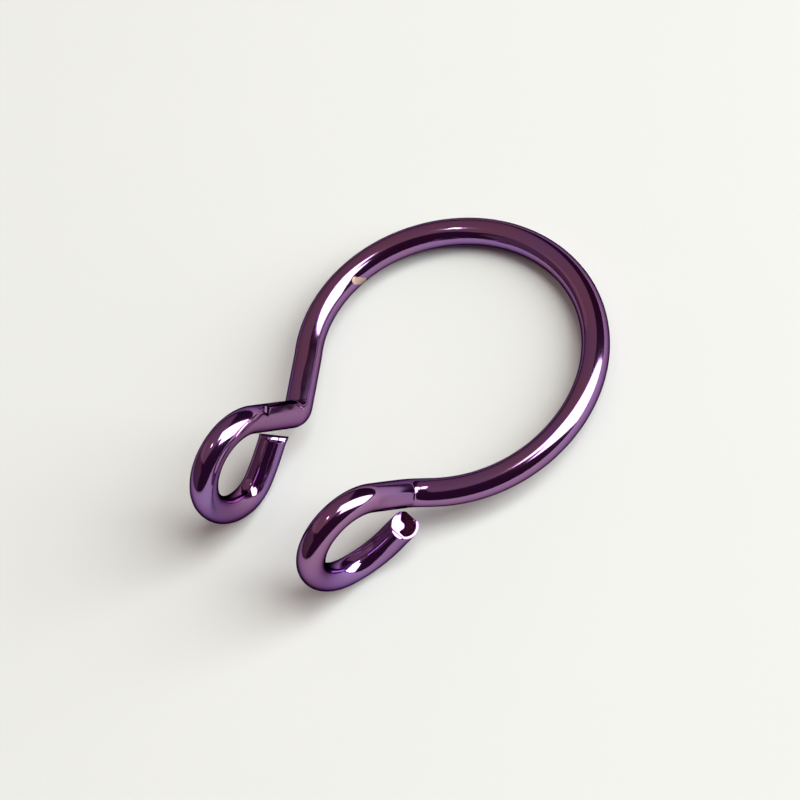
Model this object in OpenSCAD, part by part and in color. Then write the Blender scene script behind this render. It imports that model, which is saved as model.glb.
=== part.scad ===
// Clip-on septum ring. One length of round wire is bent into an open hoop. At each side of the
// hoop's mouth a sharp corner turns the wire up into a short neck, and the neck curls forward,
// down and back under itself to a cut end. The ring lies on a table as it does by itself: on the
// back of the hoop and on the bottom of both curls.

/* [Wire] */
// Diameter of the round wire
wire_d = 1.0; // [0.9:0.05:1.05]
// Depth of the flats that the pliers left on both sides of each neck
flat_depth = 0.05; // [0.03:0.01:0.1]
// Depth of the flats on the straight arm before the left corner
arm_flat_depth = 0.04; // [0.02:0.01:0.08]
// Slope of the steeper face of each pinched end, in degrees
cut_slope = 14; // [8:1:22]

/* [Hoop] */
// Bend radius of the back of the hoop, to the middle of the wire
back_r = 5.44; // [5.3:0.02:5.6]
// Turn of the back on each side of the middle, in degrees
back_turn = 64.5; // [62:0.5:67]
// Bend radius of the right shoulder, which leads on to the mouth
right_shoulder_r = 5.43; // [5.35:0.01:5.5]
// Bend radius of the left shoulder, which is a little tighter
left_shoulder_r = 4.88; // [4.8:0.02:5]
// Straight length of the left arm, between the left shoulder and its corner
left_arm = 2.06; // [1.96:0.02:2.2]

/* [Curls] */
// Bend radius of the sharp corner between the hoop and each neck
corner_r = 0.6; // [0.56:0.02:0.7]
// Straight length of the right neck
right_neck = 1.68; // [1.62:0.02:1.8]
// Straight length of the left neck
left_neck = 2.23; // [2.15:0.02:2.31]
// Bend radius of the right curl over its top and down to the table
right_curl_r = 1.72; // [1.7:0.01:1.8]
// Bend radius of the left curl over its top
left_curl_r = 1.73; // [1.69:0.01:1.81]
// Straight length of the right curl's last stretch, up to the ridge of the cut
right_end = 0.83; // [0.7:0.01:0.86]
// Straight length of the left curl's last stretch, up to the ridge of the cut
left_end = 0.55; // [0.45:0.05:0.7]

/* [Hidden] */
$fn = 64;
wire_r = wire_d / 2;
// The jaws gripped this far past the start and the end of each straight length, counted from the
// back of the hoop. A value below zero stays short of that end. They gripped over this half of the
// width.
neck_grip = [-0.03, 0.22];
arm_grip = [-0.03, -0.03];
jaw_half = 0.4;
// A cutting block stands this far out of the wire.
beyond = 0.12;
// The jaws stood turned about the wire by these angles from the plane of the bend that follows.
right_neck_roll = 30;
left_neck_roll = -55;
arm_roll = -45;
// The blades stood turned about each end by these angles and leaned along their own edge by these.
right_blade_roll = 150;
left_blade_roll = 30;
right_lean = 20;
left_lean = 10;
// The blades met this far to one side of the middle of the right end. On their flatter side they
// left this slope.
right_ridge_offset = 0.18;
flat_face_slope = 6;
// A joint between two bends is closed by a collar this long, which stands this little proud.
collar_length = 0.03;
collar_proud = 0.004;
// Inside its collars each length of wire stops this far short of the joint.
joint_gap = 0.004;

// Each row feeds the wire straight on, rolls it about itself, then bends it.
FEED = 0;
ROLL = 1;
RADIUS = 2;
TURN = 3;
right_bends = [
    // feed,     roll,    radius,           turn
    [0,          0,       back_r,           back_turn],
    [0,          -0.3,    5.6,              32],
    [0,          -4.2,    right_shoulder_r, 43.9],
    [0,          -117.5,  1.51,             23.6],
    [0,          -4.6,    corner_r,         35.3],
    [right_neck, -123.6,  right_curl_r,     204.2],
    [0,          21.3,    1.37,             48.6],
    [0,          -14.5,   3.2,              14.5]
];
left_bends = [
    // feed,     roll,    radius,           turn
    [0,          0,       back_r,           back_turn],
    [0,          -1.1,    left_shoulder_r,  65.5],
    [0,          172,     1.5,              4],
    [left_arm,   74.5,    corner_r,         56.7],
    [left_neck,  -143.9,  left_curl_r,      148],
    [0,          11,      2.33,             53.7],
    [0,          -13.6,   0.97,             63.1],
    [0,          125.2,   7,                8.1]
];
// The straight lengths that are fed before these rows are the right neck, the left arm and the
// left neck.
RIGHT_NECK = 5;
LEFT_ARM = 3;
LEFT_NECK = 4;

// Along the wire the local Y axis points on, and a bend turns it towards local -X.
function shift(x, y) = [[1, 0, 0, x], [0, 1, 0, y], [0, 0, 1, 0], [0, 0, 0, 1]];
function roll_by(a) = [[cos(a), 0, sin(a), 0], [0, 1, 0, 0], [-sin(a), 0, cos(a), 0], [0, 0, 0, 1]];
function turn_by(a) = [[cos(a), -sin(a), 0, 0], [sin(a), cos(a), 0, 0], [0, 0, 1, 0], [0, 0, 0, 1]];
// The middle of the back, where the wire runs towards +X and bends forward, towards -Y.
hoop_back = [[0, 1, 0, 0], [1, 0, 0, back_r], [0, 0, -1, 0], [0, 0, 0, 1]];

function bend_start(rows, i) =
    (i == 0 ? hoop_back : bend_at(rows, i - 1, rows[i - 1][TURN]))
    * shift(0, rows[i][FEED]) * roll_by(rows[i][ROLL]);
function bend_at(rows, i, turn) =
    bend_start(rows, i) * shift(-rows[i][RADIUS], 0) * turn_by(turn) * shift(rows[i][RADIUS], 0);
function last_turn(rows) = bend_at(rows, len(rows) - 1, rows[len(rows) - 1][TURN]);
function middle(m) = [m[0][3], m[1][3], m[2][3]];

// Points of the wire's middle line, every degree of turn, with the left half mirrored to -X.
function half_line(rows, side) = [
    for (i = [0 : len(rows) - 1]) for (turn = [0 : 1 : rows[i][TURN]])
        let (p = middle(bend_at(rows, i, turn))) [side * p.x, p.y, p.z]
];
line = concat(half_line(right_bends, 1), half_line(left_bends, -1));

// The tilt of the hoop at which the back and the lower curl both touch the table.
rest_tilt = max([for (p = line) if (p.y < 0) atan2(-p.z, back_r - p.y)]);
lift = wire_r + back_r * sin(rest_tilt);
laid = [for (p = line) [p.x, p.y * cos(rest_tilt) + p.z * sin(rest_tilt)]];
mid_x = (max([for (p = laid) p.x]) + min([for (p = laid) p.x])) / 2;
mid_y = (max([for (p = laid) p.y]) + min([for (p = laid) p.y])) / 2;

// One straight feed with its collar, and the bend after it.
module step(row) {
    gap_turn = joint_gap / row[RADIUS] * 180 / PI;
    if (row[FEED] > 0) {
        translate([0, -joint_gap, 0]) rotate([90, 0, 0]) cylinder(d = wire_d, h = row[FEED] - 2 * joint_gap);
        collar();
    }
    translate([-row[RADIUS], 0, 0]) rotate([0, 0, gap_turn])
        rotate_extrude(angle = row[TURN] - 2 * gap_turn) translate([row[RADIUS], 0]) circle(d = wire_d);
}

module collar() {
    rotate([90, 0, 0]) cylinder(r = wire_r + collar_proud, h = collar_length, center = true);
}

// The blocks that take off the plier flats on both sides of the straight length fed before row i.
module jaws(rows, i, depth, grip, roll) {
    thick = depth + beyond;
    feed = rows[i][FEED];
    multmatrix(bend_start(rows, i) * shift(0, (grip[1] - grip[0] - feed) / 2)) rotate([0, roll, 0])
        for (side = [-1, 1])
            translate([0, 0, side * (wire_r - depth + thick / 2)])
                cube([2 * jaw_half, feed + grip[0] + grip[1], thick], center = true);
}

// The straight last stretch, pinched off to two sloping faces with a ridge between them. The blades'
// lean raises one end of the ridge.
module cut_end(length, roll, lean, ridge) {
    rise = wire_r * tan(lean);
    base = -length - wire_d;
    intersection() {
        translate([0, rise, 0]) rotate([90, 0, 0]) cylinder(d = wire_d, h = length + rise - joint_gap);
        rotate([-lean, roll, 0]) translate([0, 0, -2 * wire_d]) linear_extrude(4 * wire_d)
            polygon([
                [ridge - wire_d, -wire_d * tan(cut_slope)], [ridge, 0],
                [ridge + wire_d, -wire_d * tan(flat_face_slope)],
                [ridge + wire_d, base], [ridge - wire_d, base]
            ]);
    }
}

// Half of the wire, from the middle of the back to the last bend.
module half_wire(rows) {
    for (i = [0 : len(rows) - 1]) multmatrix(bend_start(rows, i)) step(rows[i]);
    for (i = [0 : len(rows) - 1]) multmatrix(bend_at(rows, i, rows[i][TURN])) collar();
}

module right_half() {
    difference() {
        half_wire(right_bends);
        jaws(right_bends, RIGHT_NECK, flat_depth, neck_grip, right_neck_roll);
    }
    multmatrix(last_turn(right_bends) * shift(0, right_end))
        cut_end(right_end, right_blade_roll, right_lean, right_ridge_offset);
}

module left_half() {
    difference() {
        half_wire(left_bends);
        jaws(left_bends, LEFT_NECK, flat_depth, neck_grip, left_neck_roll);
        jaws(left_bends, LEFT_ARM, arm_flat_depth, arm_grip, arm_roll);
    }
    multmatrix(last_turn(left_bends) * shift(0, left_end))
        cut_end(left_end, left_blade_roll, left_lean, 0);
}

module ring_wire() {
    color([0.29, 0.13, 0.27])
        translate([-mid_x, -mid_y, lift]) rotate([-rest_tilt, 0, 0]) {
            right_half();
            mirror([1, 0, 0]) left_half();
            multmatrix(hoop_back) collar();
        }
}

ring_wire();
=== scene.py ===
"""A clip-on septum ring bent from one length of plum-coated wire, dressed for close views.

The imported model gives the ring's place and size. One piece stands for it here: the same wire, drawn along the
same bends, with the marks that the pliers and the cutters left on it, its coloured coat and a chip in it.
"""
import math

import bmesh
import bpy
from mathutils import Matrix, Vector


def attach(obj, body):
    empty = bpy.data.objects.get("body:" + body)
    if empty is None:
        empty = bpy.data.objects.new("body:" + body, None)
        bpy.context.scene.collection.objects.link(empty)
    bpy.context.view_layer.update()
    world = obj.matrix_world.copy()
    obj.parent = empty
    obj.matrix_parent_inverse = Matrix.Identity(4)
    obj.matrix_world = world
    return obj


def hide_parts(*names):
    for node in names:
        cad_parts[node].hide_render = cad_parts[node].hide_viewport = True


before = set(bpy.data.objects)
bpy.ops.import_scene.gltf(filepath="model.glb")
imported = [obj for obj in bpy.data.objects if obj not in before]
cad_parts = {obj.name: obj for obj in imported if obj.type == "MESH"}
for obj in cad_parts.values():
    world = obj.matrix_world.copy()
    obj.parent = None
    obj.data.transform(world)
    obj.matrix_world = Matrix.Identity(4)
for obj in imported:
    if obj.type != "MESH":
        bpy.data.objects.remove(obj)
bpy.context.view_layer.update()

# The bent wire: one length of 1 mm brass wire with a plum coat. The hoop is turned on a former, the pliers make
# a sharp corner at each side of its mouth and hold the neck there while the curl is turned, and the cutters
# pinch off both ends. Nothing is joined: the spring of the wire alone grips.
MM = 0.001
wire_radius = 0.5 * MM
hoop_radius = 5.44 * MM
right_end, left_end = 0.85 * MM, 0.68 * MM
FEED, ROLL, RADIUS, TURN = range(4)
# Each row feeds the wire straight on, rolls it about itself, then bends it, as it goes at the bench. Lengths
# are in millimetres and angles in degrees.
right_bends = [
    # feed, roll, radius, turn
    (0, 0, 5.44, 64.5),
    (0, -0.3, 5.6, 32),
    (0, -4.2, 5.43, 43.9),
    (0, -117.5, 1.51, 23.6),
    (0, -4.6, 0.6, 35.3),
    (1.68, -123.6, 1.72, 204.2),
    (0, 21.3, 1.37, 48.6),
    (0, -14.5, 3.2, 14.5),
]
left_bends = [
    (0, 0, 5.44, 64.5),
    (0, -1.1, 4.88, 65.5),
    (0, 172, 1.5, 4),
    (2.06, 74.5, 0.6, 56.7),
    (2.23, -143.9, 1.73, 148),
    (0, 11, 2.33, 53.7),
    (0, -13.6, 0.97, 63.1),
    (0, 125.2, 7, 8.1),
]
# The straight lengths that are fed before these rows are the right neck, the left arm and the left neck.
RIGHT_NECK, LEFT_ARM, LEFT_NECK = 5, 3, 4
# The places along the wire are this close on its straight lengths. On a bend they are at most the coarse step
# and this many radians apart.
fine_step = 0.03 * MM
coarse_step = 0.15 * MM
step_turn = 0.026


def shifted(x, y):
    return Matrix.Translation((x, y, 0))


def roll_by(degrees):
    return Matrix.Rotation(math.radians(degrees), 4, "Y")


def steps(length, step):
    """Evenly spread places on a length, without its start and with its end."""
    count = max(1, math.ceil(length / step))
    return [length * (i + 1) / count for i in range(count)]


def follow(rows, end_length):
    """Goes along one half of the wire from the middle of the hoop's back. It gives a list of places, each a
    distance along, a frame that points along the wire with its second axis, and the roll that the frame has
    had, and for each row where its feed starts and ends and the frame in which it bends."""
    at = Matrix(((0, 1, 0, 0), (1, 0, 0, hoop_radius), (0, 0, -1, 0), (0, 0, 0, 1)))
    along, rolled, places, bends = 0.0, 0.0, [(0.0, at, 0.0)], []
    for row in rows:
        feed, radius, turn = row[FEED] * MM, row[RADIUS] * MM, math.radians(row[TURN])
        for length in steps(feed, fine_step) if feed else ():
            places.append((along + length, at @ shifted(0, length), rolled))
        at = at @ shifted(0, feed) @ roll_by(row[ROLL])
        rolled += math.radians(row[ROLL])
        bends.append((along, along + feed, at.copy()))
        along += feed
        for length in steps(radius * turn, min(coarse_step, radius * step_turn)):
            bent = shifted(-radius, 0) @ Matrix.Rotation(length / radius, 4, "Z") @ shifted(radius, 0)
            places.append((along + length, at @ bent, rolled))
        at, along = places[-1][1], along + radius * turn
    for length in steps(end_length, fine_step):
        places.append((along + length, at @ shifted(0, length), rolled))
    return places, bends


right_places, right_rows = follow(right_bends, right_end)
left_places, left_rows = follow(left_bends, left_end)
mirrored = Matrix.Diagonal((-1, 1, 1, 1))

# The ring lies on the back of the hoop and on the bottoms of its curls, in the middle of the table.
middles = [m.translation for _, m, _ in right_places] + [mirrored @ m.translation for _, m, _ in left_places]
rest_tilt = max(math.atan2(-p.z, hoop_radius - p.y) for p in middles if p.y < 0)
tilted = Matrix.Rotation(-rest_tilt, 4, "X")
laid = [tilted @ p for p in middles]
rest = Matrix.Translation((
    -(max(p.x for p in laid) + min(p.x for p in laid)) / 2,
    -(max(p.y for p in laid) + min(p.y for p in laid)) / 2,
    wire_radius + hoop_radius * math.sin(rest_tilt),
)) @ tilted

# What the pliers did. Each press has flats on two sides: the straight length that it was made on, its depth,
# how the jaws stood turned about the wire, how far past that length's start and end it reaches, and over what
# lengths it fades in and out.
right_presses = [
    (RIGHT_NECK, 0.04, 22, 0.02, 0.35, 0.05, 0.8),
]
left_presses = [
    (LEFT_NECK, 0.015, -55, 0.2, 1.0, 1.0, 1.4),
    (LEFT_ARM, 0.014, -42, 0.2, 0.0, 1.2, 0.6),
]


def eased(x):
    x = min(1.0, max(0.0, x))
    return x * x * (3 - 2 * x)


def press(start, end, way, depth, fade_in, fade_out):
    """The flats between two places along the wire: their depth at a distance along, and the way they face."""
    def depth_at(along):
        arriving, leaving = (along - start) / (fade_in * MM), (end - along) / (fade_out * MM)
        return depth * MM * eased(arriving) * eased(leaving)
    return depth_at, way


def flats_of(rows, mirror, presses):
    """The presses of one half of the wire."""
    found = []
    for i, depth, turned, before, after, fade_in, fade_out in presses:
        start, end, bend_frame = rows[i]
        way = (rest @ mirror @ bend_frame @ roll_by(turned)).col[2].xyz
        found.append(press(start - before * MM, end + after * MM, way, depth, fade_in, fade_out))
    return found


# The line of stations that the wire is drawn through, from the left cut end round to the right one. The
# cutters took the right end off in one slanting face and tore a pit in it. The left end has two sloping faces
# that meet in a low ridge. Both are nipped flat on two sides, where the blades first bit.
# Each cut is given by how far the blades stood turned, the slope of its face on either side of the ridge, its
# lean along the ridge, how far round the nips are and their depth at some distances from the end, whether it
# has the pit, and how much the end tapers.
right_cut = dict(turned=160, slopes=(16, -16), lean=24, nipped=35,
                 nip=((0.17, 0.0), (0.09, 0.055), (0.0, 0.08)), pit=1.0, taper=0.04)
left_cut = dict(turned=22, slopes=(6, 14), lean=10, nipped=20,
                nip=((0.15, 0.0), (0.1, 0.155), (0.0, 0.188)), pit=0.0, taper=0.0)
# The slopes, the pit and the taper set in over this last stretch.
tail = 0.3 * MM
# How strongly a station counts as cut, on a cut face and on a nip. It makes edges crisp sooner, and past the
# middle between the two a face gets the cuts' own coat.
cut_share, nip_share = 1.0, 0.5
# The rings of points that close an end, from its edge to its middle: how much of the wire's radius each has,
# and how far it stands out past the edge, in millimetres.
face_lip, even_rings, first_share, share_gap = 0.004, 23, 0.92, 0.04
cut_rings = [(1.0, 0.0), (0.985, 0.005), (0.96, 0.006)]
cut_rings += [(first_share - share_gap * i, face_lip) for i in range(even_rings)] + [(0.0, face_lip)]


def slope(degrees):
    return math.tan(math.radians(degrees))


def nip_depth(profile, from_end):
    """How deep a nip is at a distance from the end, both in millimetres. Its profile goes point to point."""
    for (far, shallow), (near, deep) in zip(profile, profile[1:]):
        if near <= from_end < far:
            return shallow + (deep - shallow) * (far - from_end) / (far - near)
    return 0.0


stations = []
for places, rows, side, mirror, presses, cut in (
        (left_places, left_rows, -1, mirrored, left_presses, left_cut),
        (right_places, right_rows, 1, Matrix(), right_presses, right_cut)):
    half = []
    total = places[-1][0]
    flats = flats_of(rows, mirror, presses)
    for along, m, rolled in places:
        here = rest @ mirror @ m
        even = here @ Matrix.Rotation(-rolled, 4, "Y")
        blades = here @ roll_by(cut["turned"])
        bite = max(0.0, (along - (total - tail)) / tail)
        deepest, flat = max(((depth_at(along), way) for depth_at, way in flats), key=lambda p: p[0])
        nipped = nip_depth(cut["nip"], (total - along) / MM) * MM
        if nipped > 0:
            deepest, flat = nipped, (here @ roll_by(cut["nipped"])).col[0].xyz
        half.append(dict(
            co=here.translation, side=even.col[0].xyz, over=even.col[2].xyz, flat=flat, press=deepest,
            ahead=here.col[1].xyz, blade=blades.col[0].xyz * bite, ridge=blades.col[2].xyz * bite,
            near_slope=slope(cut["slopes"][0]), far_slope=slope(cut["slopes"][1]), lean=slope(cut["lean"]),
            rim=1.0, taper=1.0 - cut["taper"] * bite ** 2, lip=0.0, pit=cut["pit"] * bite,
            along=side * along, cut=nip_share if nipped > 0 else 0.0))
    for rim, lip in cut_rings:
        half.append(half[-1] | dict(rim=rim, lip=lip * MM, cut=cut_share))
    stations += half[::-1] if side < 0 else half[1:]

line = bpy.data.meshes.new("wire line")
line.from_pydata([s["co"] for s in stations], [(i, i + 1) for i in range(len(stations) - 1)], [])
station_ways = "side", "over", "flat", "ahead", "blade", "ridge"
station_numbers = "press", "near_slope", "far_slope", "lean", "rim", "taper", "lip", "pit", "along", "cut"
for name in station_ways:
    ways = [x for s in stations for x in s[name]]
    line.attributes.new(name, "FLOAT_VECTOR", "POINT").data.foreach_set("vector", ways)
for name in station_numbers:
    numbers = [s[name] for s in stations]
    line.attributes.new(name, "FLOAT", "POINT").data.foreach_set("value", numbers)


class Sum:
    """One value in a node tree, so that what the nodes work out can be written as plain sums."""

    def __init__(self, tree, socket):
        self.tree, self.socket = tree, socket

    @staticmethod
    def of(tree, kind, settings=None, values=None, out=0):
        """Adds a node of any kind, its settings first, then its values and links. Gives one output."""
        node = tree.nodes.new(kind)
        for name, value in (settings or {}).items():
            setattr(node, name, value)
        for key, value in (values or {}).items():
            if isinstance(value, Sum):
                tree.links.new(value.socket, node.inputs[key])
            else:
                node.inputs[key].default_value = value
        return Sum(tree, node.outputs[out])

    def also(self, out):
        """Another output of the same node."""
        return Sum(self.tree, self.socket.node.outputs[out])

    def is_vector(self):
        return self.socket.type in ("VECTOR", "RGBA")

    def work(self, operation, *parts, out=0):
        """One Math node, or a Vector Math node where a part is a vector."""
        vector = any(p.is_vector() if isinstance(p, Sum) else isinstance(p, (tuple, Vector)) for p in parts)
        kind = "ShaderNodeVectorMath" if vector else "ShaderNodeMath"
        parts = [(p, p, p) if vector and isinstance(p, (int, float)) else p for p in parts]
        return Sum.of(self.tree, kind, {"operation": operation}, dict(enumerate(parts)), out)

    def __add__(self, other):
        return self.work("ADD", self, other)

    def __radd__(self, other):
        return self.work("ADD", other, self)

    def __sub__(self, other):
        return self.work("SUBTRACT", self, other)

    def __rsub__(self, other):
        return self.work("SUBTRACT", other, self)

    def __mul__(self, other):
        return self.work("MULTIPLY", self, other)

    def __rmul__(self, other):
        return self.work("MULTIPLY", other, self)

    def __truediv__(self, other):
        return self.work("DIVIDE", self, other)

    def __rtruediv__(self, other):
        return self.work("DIVIDE", other, self)

    def __pow__(self, other):
        return self.work("POWER", self, other)

    def __neg__(self):
        return self.work("MULTIPLY", self, -1.0)

    def __abs__(self):
        return self.work("ABSOLUTE", self)

    def dot(self, other):
        return self.work("DOT_PRODUCT", self, other, out=1)

    def most(self, other):
        return self.work("MAXIMUM", self, other)

    def eased(self, low, high):
        """0 below low and 1 above high, or the other way round, with a soft step between them."""
        return Sum.of(self.tree, "ShaderNodeMapRange", {"interpolation_type": "SMOOTHSTEP"},
                      {0: self, 1: low, 2: high, 3: 0.0, 4: 1.0})

    def mix(self, low, high):
        """Goes from low to high, two numbers or two colours, as this value goes from 0 to 1."""
        coloured = any(p.is_vector() if isinstance(p, Sum) else isinstance(p, tuple) for p in (low, high))
        if coloured:
            return Sum.of(self.tree, "ShaderNodeMix", {"data_type": "RGBA"}, {0: self, 6: low, 7: high}, 2)
        return Sum.of(self.tree, "ShaderNodeMix", {"data_type": "FLOAT"}, {0: self, 2: low, 3: high}, 0)


# Marks that the tools left. Each runs from one place to another on the wire, reaches so far to either side
# and is so deep, in millimetres, where a depth below zero stands proud. A place is a distance along the wire
# from the middle of the back, less than nothing on the left half, and an angle round it in degrees.
# These are in the shape: a nick on the left neck, a bulge beside the right corner and a dent at the chip.
dents = [
    ((-16.2, 240), (-16.35, 225), 0.15, 0.03),
    ((13.62, 270), (13.72, 278), 0.36, -0.022),
    ((-8.15, 205), (-7.9, 176), 0.24, 0.02),
]
# These are only in the surface: seams and scratches about the left neck, and two across the left end's nip.
fine_marks = [
    ((-16.6, 226), (-17.2, 204), 0.05, -0.012),
    ((-17.2, 204), (-17.96, 184), 0.05, -0.012),
    ((-14.59, 236), (-14.38, 212), 0.05, 0.012),
    ((-25.95, 91), (-26.1, 91), 0.03, 0.02),
    ((-25.95, 131), (-26.1, 131), 0.03, 0.02),
]
# These have no depth: the chip in the coat, painted shade in the nick, and a painted highlight across that.
chip = (-8.15, 205), (-7.88, 172), 0.26
nick = (-16.15, 250), (-16.4, 216), 0.19
nick_highlight = (-16.2, 250), (-16.4, 224), 0.085
# Round the wire a mark is whole where the cosine of the angle from it is above this. It is gone at a quarter
# turn.
whole_cosine = 0.3


def mark(along, across, upward, start, end, wide):
    """1 in the middle of a mark on the wire, and 0 outside it."""
    middle_turn = math.radians((start[1] + end[1]) / 2)
    run = (end[0] - start[0]) * MM
    rise = math.radians(end[1] - start[1]) * wire_radius
    half, skew = math.hypot(run, rise) / 2, math.atan2(rise, run)
    onward = along - (start[0] + end[0]) / 2 * MM
    aside = (upward * math.cos(middle_turn) - across * math.sin(middle_turn)) * wire_radius
    facing = across * math.cos(middle_turn) + upward * math.sin(middle_turn)
    past = (abs(onward * math.cos(skew) + aside * math.sin(skew)) - half).most(0.0)
    off = aside * math.cos(skew) - onward * math.sin(skew)
    share_out = (past * past + off * off) ** 0.5 / (wide * MM)
    return share_out.eased(1.0, 0.0) * facing.eased(0.0, whole_cosine)


# The bench: a round die that follows the line, jaws that press the flats, and blades that pinch the ends.
bench =bpy.data.node_groups.new("wire bench", "GeometryNodeTree")
bench.interface.new_socket("Geometry", in_out="INPUT", socket_type="NodeSocketGeometry")
settings = {}
for name, kind in (("Wire radius", "Float"), ("Points round the wire", "Int"),
                   ("Roundness of the flats' edges", "Float"), ("Spread of the pressed wire", "Float"),
                   ("Depth of the pit", "Float"), ("Coat", "Material"), ("Cut coat", "Material")):
    settings[name] = bench.interface.new_socket(name, in_out="INPUT", socket_type="NodeSocket" + kind)
bench.interface.new_socket("Geometry", in_out="OUTPUT", socket_type="NodeSocketGeometry")


def named(name, kind="FLOAT"):
    return Sum.of(bench, "GeometryNodeInputNamedAttribute", {"data_type": kind}, {"Name": name})


given = Sum.of(bench, "NodeGroupInput")
radius = given.also("Wire radius")
die = Sum.of(bench, "GeometryNodeCurvePrimitiveCircle", {"mode": "RADIUS"},
             {"Resolution": given.also("Points round the wire"), "Radius": 1.0})


def keep(geometry, name):
    """Keeps where each point is now. It gives the geometry and the places that were kept."""
    kept = bench.nodes.new("GeometryNodeCaptureAttribute")
    kept.capture_items.new("VECTOR", name)
    bench.links.new(geometry.socket, kept.inputs[0])
    bench.links.new(Sum.of(bench, "GeometryNodeInputPosition").socket, kept.inputs[1])
    return Sum(bench, kept.outputs[0]), Sum(bench, kept.outputs[1])


die, round_place = keep(die, "round")
curve, middle = keep(Sum.of(bench, "GeometryNodeMeshToCurve", {}, {"Mesh": given}), "middle")
tube = Sum.of(bench, "GeometryNodeCurveToMesh", {}, {"Curve": curve, "Profile Curve": die})

parts = Sum.of(bench, "ShaderNodeSeparateXYZ", {}, {0: round_place})
across, upward, along = parts, parts.also(1), named("along")
outward = named("side", "FLOAT_VECTOR") * across + named("over", "FLOAT_VECTOR") * upward
spot = outward * radius
for start, end, wide, deep in dents:
    spot = spot - outward * (mark(along, across, upward, start, end, wide) * deep * MM)
flat_way = named("flat", "FLOAT_VECTOR")
height = spot.dot(flat_way)
edge = given.also("Roundness of the flats' edges")
depth = named("press")
limit = radius + edge - depth * (1.0 + edge / (depth.most(edge)))
pressed = Sum.of(bench, "ShaderNodeMath", {"operation": "SMOOTH_MIN"}, {0: abs(height), 1: limit, 2: edge})
spot = spot + flat_way * (height.work("SIGN", height) * (pressed - abs(height)))
ahead = named("ahead", "FLOAT_VECTOR")
wide_way = ahead.work("CROSS_PRODUCT", ahead, flat_way)
spot = spot + wide_way * (spot.dot(wide_way) * (depth / radius * given.also("Spread of the pressed wire")))
spot = spot * (named("rim") * named("taper"))
beside_ridge = spot.dot(named("blade", "FLOAT_VECTOR"))
up_ridge = spot.dot(named("ridge", "FLOAT_VECTOR"))
drop = (beside_ridge * named("near_slope")).most(-beside_ridge * named("far_slope"))
# The pit lies beyond a crooked edge, where a tongue of whole metal reaches into it. It keeps off the rim, and
# is open at the top. The tongue's side is given in its own half width, and the rest but for the pit's wall in
# the wire's radius.
pit_start, tongue_reach, tongue_middle, tongue_half = 0.36, 0.3, -0.1, 0.4
tongue_side, rim_side, open_top = (1.0, 0.2), (0.83, 0.76), (0.35, 0.5)
pit_wall = 0.04 * MM
up_share = up_ridge / radius
tongue = (abs(up_share - tongue_middle) / tongue_half).eased(*tongue_side)
pit_edge = (pit_start - tongue * tongue_reach) * radius
off_rim = named("rim").eased(*rim_side).most(up_share.eased(*open_top))
pit = ((pit_edge - beside_ridge) / pit_wall).eased(0.0, 1.0) * off_rim * named("pit")
spot = spot + ahead * (named("lip") - drop + up_ridge * named("lean") - pit * given.also("Depth of the pit"))
shaped = Sum.of(bench, "GeometryNodeSetPosition", {}, {"Geometry": tube, "Position": middle + spot})
# The coat reads two things from the mesh: where a point lies on the unbent wire, and whether it is in the pit,
# which the cut coat paints with shade.
straight = Sum.of(bench, "ShaderNodeCombineXYZ", {}, {
    0: across * radius * named("rim"), 1: upward * radius * named("rim"), 2: along})
drawn = Sum.of(bench, "GeometryNodeStoreNamedAttribute", {"data_type": "FLOAT_VECTOR", "domain": "POINT"},
               {"Geometry": shaped, "Name": "straight", "Value": straight})
drawn = Sum.of(bench, "GeometryNodeStoreNamedAttribute", {"data_type": "FLOAT", "domain": "POINT"},
               {"Geometry": drawn, "Name": "pit_shade_share", "Value": pit})
weld = 0.001 * MM
closed = Sum.of(bench, "GeometryNodeMergeByDistance", {}, {"Geometry": drawn, "Distance": weld})
# An edge is crisp where its faces meet at more than the first angle, which on a cut is less by the second.
sharp, sooner = math.radians(38), math.radians(26)
angle = Sum.of(bench, "GeometryNodeInputMeshEdgeAngle")
rounded = Sum.of(bench, "FunctionNodeCompare", {"operation": "LESS_THAN"},
                 {0: angle, 1: sharp - named("cut") * sooner})
smooth = Sum.of(bench, "GeometryNodeSetShadeSmooth", {"domain": "EDGE"},
                {"Geometry": closed, "Shade Smooth": rounded})
real = Sum.of(bench, "GeometryNodeRealizeInstances", {}, {"Geometry": smooth})
coated = Sum.of(bench, "GeometryNodeSetMaterial", {}, {"Geometry": real, "Material": given.also("Coat")})
on_cut = Sum.of(bench, "FunctionNodeCompare", {"operation": "GREATER_THAN"},
                {0: named("cut"), 1: (cut_share + nip_share) / 2})
cut_faces = Sum.of(bench, "GeometryNodeSetMaterial", {}, {
    "Geometry": coated, "Material": given.also("Cut coat"), "Selection": on_cut})
bench.links.new(cut_faces.socket, bench.nodes.new("NodeGroupOutput").inputs[0])

# The coat: a thin plum lacquer over bright metal, smooth as glass but for the faint lines that the drawing
# die left along the wire and a little cloudiness in its colour. It has chipped off down to the brass in one
# place on the inside of the hoop. In the nick on the left neck it gets painted shade, with a painted highlight
# across it.
plum, violet, brass = (0.50, 0.305, 0.49, 1), (0.45, 0.305, 0.615, 1), (1.0, 0.88, 0.58, 1)
# Painted shade for the nick, and a painted highlight across it.
nick_painted_shade, nick_painted_highlight = (0.02, 0.0, 0.02, 1), (1.0, 0.85, 1.0, 1)
# How rough the gloss is, what the clouds and the die lines add, and how rough the chip's bared metal and the
# painted highlight are and how much that varies.
gloss_rough, clouds_add, die_lines_add = 0.06, 0.05, 0.03
chip_and_highlight_rough, chip_and_highlight_varies = 0.35, 0.2
# How fine the patterns are, in features to a metre, and how they are drawn out along the wire.
fine_grain, broad_grain = 9000.0, 900.0
die_lines_drawn, clouds_drawn = (1.0, 1.0, 0.02), (1.0, 1.0, 0.45)
# A pattern or a mark starts to show at the first of these values and is whole at the second.
cloud_edge, chip_edge, nick_shade_edge, nick_highlight_edge = (0.35, 0.7), (0.30, 0.42), (0.15, 0.7), (0.2, 0.6)
chip_raggedness = 0.5
die_line_height = 0.0002


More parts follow.
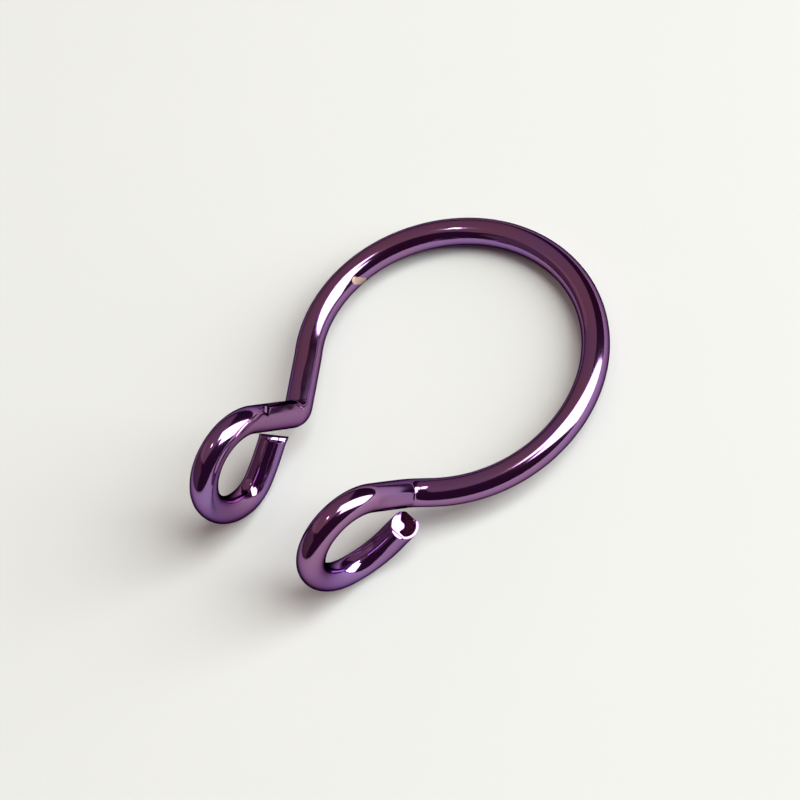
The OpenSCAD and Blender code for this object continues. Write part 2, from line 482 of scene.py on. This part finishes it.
def blank(name):
    """A new material with nothing in its node tree yet."""
    material = bpy.data.materials.new(name)
    material.use_nodes = True
    material.node_tree.nodes.clear()
    return material, material.node_tree


def noise(tree, where, scale, detail, roughness=0.5):
    return Sum.of(tree, "ShaderNodeTexNoise", {}, {
        "Vector": where, "Scale": scale, "Detail": detail, "Roughness": roughness})


def surface(tree, looks):
    """Ends a tree in a Principled surface with these looks."""
    shader = Sum.of(tree, "ShaderNodeBsdfPrincipled", {}, looks)
    tree.links.new(shader.socket, tree.nodes.new("ShaderNodeOutputMaterial").inputs[0])


def lacquer(tree, looks, relief, relief_depth):
    """Ends a tree in the plum gloss: over these looks lies a tinted layer that a slanting look goes through
    for longer, so that the rims go dark."""
    bump = Sum.of(tree, "ShaderNodeBump", {}, {"Strength": 1.0, "Distance": relief_depth, "Height": relief})
    surface(tree, looks | {
        "Specular Tint": (0.03, 0.01, 0.03, 1.0), "Coat Weight": 1.0, "Coat IOR": 1.0, "Coat Roughness": 0.05,
        "Coat Tint": (0.70, 0.60, 0.70, 1.0), "Normal": bump})


coat, tree = blank("plum coat")
unbent = Sum.of(tree, "ShaderNodeAttribute", {"attribute_name": "straight"}, {}, "Vector")
unbent_parts = Sum.of(tree, "ShaderNodeSeparateXYZ", {}, {0: unbent * (1 / wire_radius)})
place = unbent_parts.also(2) * wire_radius, unbent_parts, unbent_parts.also(1)
die_lines = noise(tree, unbent * die_lines_drawn, fine_grain, 3.0, 0.6)
clouds = noise(tree, unbent * clouds_drawn, broad_grain, 4.0)
ragged = noise(tree, unbent, fine_grain, 2.0)
chipped = (mark(*place, *chip) + (ragged - 0.5) * chip_raggedness).eased(*chip_edge)
in_nick_shade = mark(*place, *nick).eased(*nick_shade_edge)
under_nick_highlight = mark(*place, *nick_highlight).eased(*nick_highlight_edge)
# The nick gets painted shade and, across it, a painted highlight; the chip shows the brass.
colour = in_nick_shade.mix(clouds.eased(*cloud_edge).mix(plum, violet), nick_painted_shade)
colour = under_nick_highlight.mix(chipped.mix(colour, brass), nick_painted_highlight)
glossy = gloss_rough + clouds * clouds_add + die_lines * die_lines_add
roughness = chipped.most(under_nick_highlight).mix(glossy, chip_and_highlight_rough + ragged * chip_and_highlight_varies)
relief = die_lines * die_line_height
for start, end, wide, deep in fine_marks:
    relief = relief - mark(*place, start, end, wide) * deep
lacquer(tree, {"Base Color": colour, "Metallic": 1.0, "Roughness": roughness}, relief, MM)

# The cut ends are coated like the rest, over metal that the blades smeared. In the torn pit the coat is matt,
# and painted shade makes it nearly black.
# Painted shade for the pit: nearly black, a little lighter where the smear is high.
pit_painted_shade, lighter_pit_shade = (0.003, 0.0, 0.0015, 1), (0.04, 0.003, 0.018, 1)
smear_rough, smear_varies, pit_rough = 0.12, 0.1, 0.5
smear_grain, smear_drawn, smear_height = 16000.0, (1.0, 1.0, 0.15), 0.001 * MM
pit_side, pink_edge = (0.3, 0.6), (0.42, 0.6)
pit_raggedness = 0.5
cut_coat, tree = blank("plum coat on the cuts")
smear = noise(tree, Sum.of(tree, "ShaderNodeTexCoord", {}, {}, "Object") * smear_drawn, smear_grain, 3.0)
pit_shade_share = Sum.of(tree, "ShaderNodeAttribute", {"attribute_name": "pit_shade_share"}, {}, "Fac")
# The pit gets painted shade, matt and not metal.
pit_shade_mask = (pit_shade_share + (smear - 0.5) * pit_raggedness).eased(*pit_side)
colour = pit_shade_mask.mix(smear.mix(plum, violet), smear.eased(*pink_edge).mix(pit_painted_shade, lighter_pit_shade))
looks = {"Base Color": colour, "Metallic": pit_shade_mask.mix(1.0, 0.0),
         "Roughness": pit_shade_mask.mix(smear_rough + smear * smear_varies, pit_rough)}
lacquer(tree, looks, smear, smear_height)

guide = bpy.data.objects.new("wire guide", line)
bpy.context.scene.collection.objects.link(guide)
drawing = guide.modifiers.new("bench", "NODES")
drawing.node_group = bench
for name, value in {"Wire radius": wire_radius, "Points round the wire": 100,
                    "Roundness of the flats' edges": 0.02 * MM, "Spread of the pressed wire": 0.1,
                    "Depth of the pit": 0.04 * MM, "Coat": coat, "Cut coat": cut_coat}.items():
    drawing[settings[name].identifier] = value
bpy.context.view_layer.update()
finished = guide.evaluated_get(bpy.context.evaluated_depsgraph_get())
ring_mesh = bpy.data.meshes.new_from_object(finished)
bpy.data.objects.remove(guide)
for name in station_ways + station_numbers:
    if name in ring_mesh.attributes:
        ring_mesh.attributes.remove(ring_mesh.attributes[name])
skin = bmesh.new()
skin.from_mesh(ring_mesh)
bmesh.ops.recalc_face_normals(skin, faces=skin.faces)
skin.to_mesh(ring_mesh)
skin.free()
ring = bpy.data.objects.new("coated_wire_ring", ring_mesh)
bpy.context.scene.collection.objects.link(ring)
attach(ring, "root")
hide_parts("ring_wire")

# The table: a plain pale sheet, matt, with a faint unevenness in its tone. The ring lies loose on it.
half_table = 0.6
pale, paler = (0.645, 0.70, 0.64, 1), (0.665, 0.715, 0.66, 1)
table_corners = [(x * half_table, y * half_table, 0) for x, y in ((-1, -1), (1, -1), (1, 1), (-1, 1))]
table_mesh = bpy.data.meshes.new("table")
table_mesh.from_pydata(table_corners, [], [(0, 1, 2, 3)])
table = bpy.data.objects.new("table", table_mesh)
bpy.context.scene.collection.objects.link(table)
matt, tree = blank("pale table")
grain = noise(tree, Sum.of(tree, "ShaderNodeTexCoord", {}, {}, "Object"), 60.0, 3.0)
surface(tree, {"Base Color": grain.mix(pale, paler), "Roughness": 0.9})
table_mesh.materials.append(matt)

# The light: a tall soft box to the right and behind gives the long crisp highlights. One of its upper corners
# is dark, so that the highlight on the left of the hoop ends at the chip. A small lamp overhead gives the
# bright dots, and dim warm sheets with stepped edges the colour of the body. Nothing stands behind the camera,
# so what the wire mirrors from there is dark.
dim_purple = (0.048, 0.014, 0.042, 1)
world = bpy.data.worlds.new("studio")
world.use_nodes = True
backdrop = world.node_tree.nodes["Background"].inputs
backdrop["Color"].default_value = dim_purple
backdrop["Strength"].default_value = 1.0
bpy.context.scene.world = world
lamp_distance = 0.5
# The parts of a sheet that are lit: from its left to its right edge and from its bottom to its top, each from
# -1 to 1. The two parts of the soft box leave its dark corner out.
whole_sheet, lower_part, upper_part = (-1, 1, -1, 1), (-1, 1, -1, 0.5), (-0.2, 1, 0.5, 1)


def placed(x, y, z, at):
    """The place of a lamp or a camera with these three axes. It points the opposite way to the third."""
    return Matrix(((x.x, y.x, z.x, at.x), (x.y, y.y, z.y, at.y), (x.z, y.z, z.z, at.z), (0, 0, 0, 1)))


def light_sheet(name, azimuth, height_angle, wide, tall, turn, radiance, colour, part=whole_sheet):
    """A flat lamp that faces the ring from far off. Azimuth is counted from +Y towards +X, wide and tall are
    the angles it fills as the ring sees it, turn rolls it in its own plane, and radiance is how bright it
    shows."""
    a, h = math.radians(azimuth), math.radians(height_angle)
    way = Vector((math.sin(a) * math.cos(h), math.cos(a) * math.cos(h), math.sin(h)))
    level = Vector((0, 0, 1)).cross(way).normalized()
    upright = way.cross(level)
    c, s = math.cos(math.radians(turn)), math.sin(math.radians(turn))
    along_x, along_y = level * c + upright * s, upright * c - level * s
    data = bpy.data.lights.new(name, "AREA")
    data.shape = "RECTANGLE"
    half_wide = lamp_distance * math.tan(math.radians(wide / 2))
    half_tall = lamp_distance * math.tan(math.radians(tall / 2))
    left, right, bottom, top = part
    data.size, data.size_y = (right - left) * half_wide, (top - bottom) * half_tall
    across_by, up_by = half_wide * (left + right) / 2, half_tall * (bottom + top) / 2
    data.energy = radiance * math.pi * data.size * data.size_y
    data.color = colour
    lamp = bpy.data.objects.new(name, data)
    middle = way * lamp_distance + along_x * across_by + along_y * up_by
    lamp.matrix_world = placed(along_x, along_y, way, middle)
    lamp.visible_camera = False
    bpy.context.scene.collection.objects.link(lamp)


for part in (lower_part, upper_part):
    light_sheet("tall soft box", azimuth=44.3, height_angle=41, wide=41.5, tall=71, turn=0, radiance=8.0,
                colour=(1.0, 0.98, 1.0), part=part)
light_sheet("spot lamp", azimuth=-137.5, height_angle=79.8, wide=6.5, tall=1.8, turn=-7, radiance=34.0,
            colour=(1.0, 0.95, 0.97))
# The dim sheets are three deep, each a little smaller, so that their edges fade in steps.
for share in (1.1, 1.0, 0.88):
    light_sheet("warm ceiling", azimuth=-80, height_angle=58, wide=71 * share, tall=91 * share, turn=-14,
                radiance=0.275, colour=(1.0, 0.72, 0.62))
    light_sheet("warm wall", azimuth=-140, height_angle=25, wide=70 * share, tall=40 * share, turn=0,
                radiance=0.125, colour=(1.0, 0.74, 0.68))

# The camera stands off the right-hand curl and looks down at 58 degrees, rolled as the picture is.
aim = Vector((-0.26363, -0.17225, 0.99894)) * MM
away = Vector((0.51314, -0.15439, 0.84431)).normalized()
stand_off = 89.51
roll = math.radians(-34.17)
level = Vector((0, 0, 1)).cross(away).normalized()
upright = away.cross(level)
view_right = level * math.cos(roll) + upright * math.sin(roll)
view_up = away.cross(view_right)
camera_data = bpy.data.cameras.new("camera")
camera_data.lens, camera_data.sensor_width = 113.4, 36
camera_data.clip_start, camera_data.clip_end = 0.005, 10
camera = bpy.data.objects.new("camera", camera_data)
camera.matrix_world = placed(view_right, view_up, away, aim + away * stand_off * MM)
bpy.context.scene.collection.objects.link(camera)
bpy.context.scene.camera = camera
bpy.context.scene.view_settings.view_transform = "Standard"
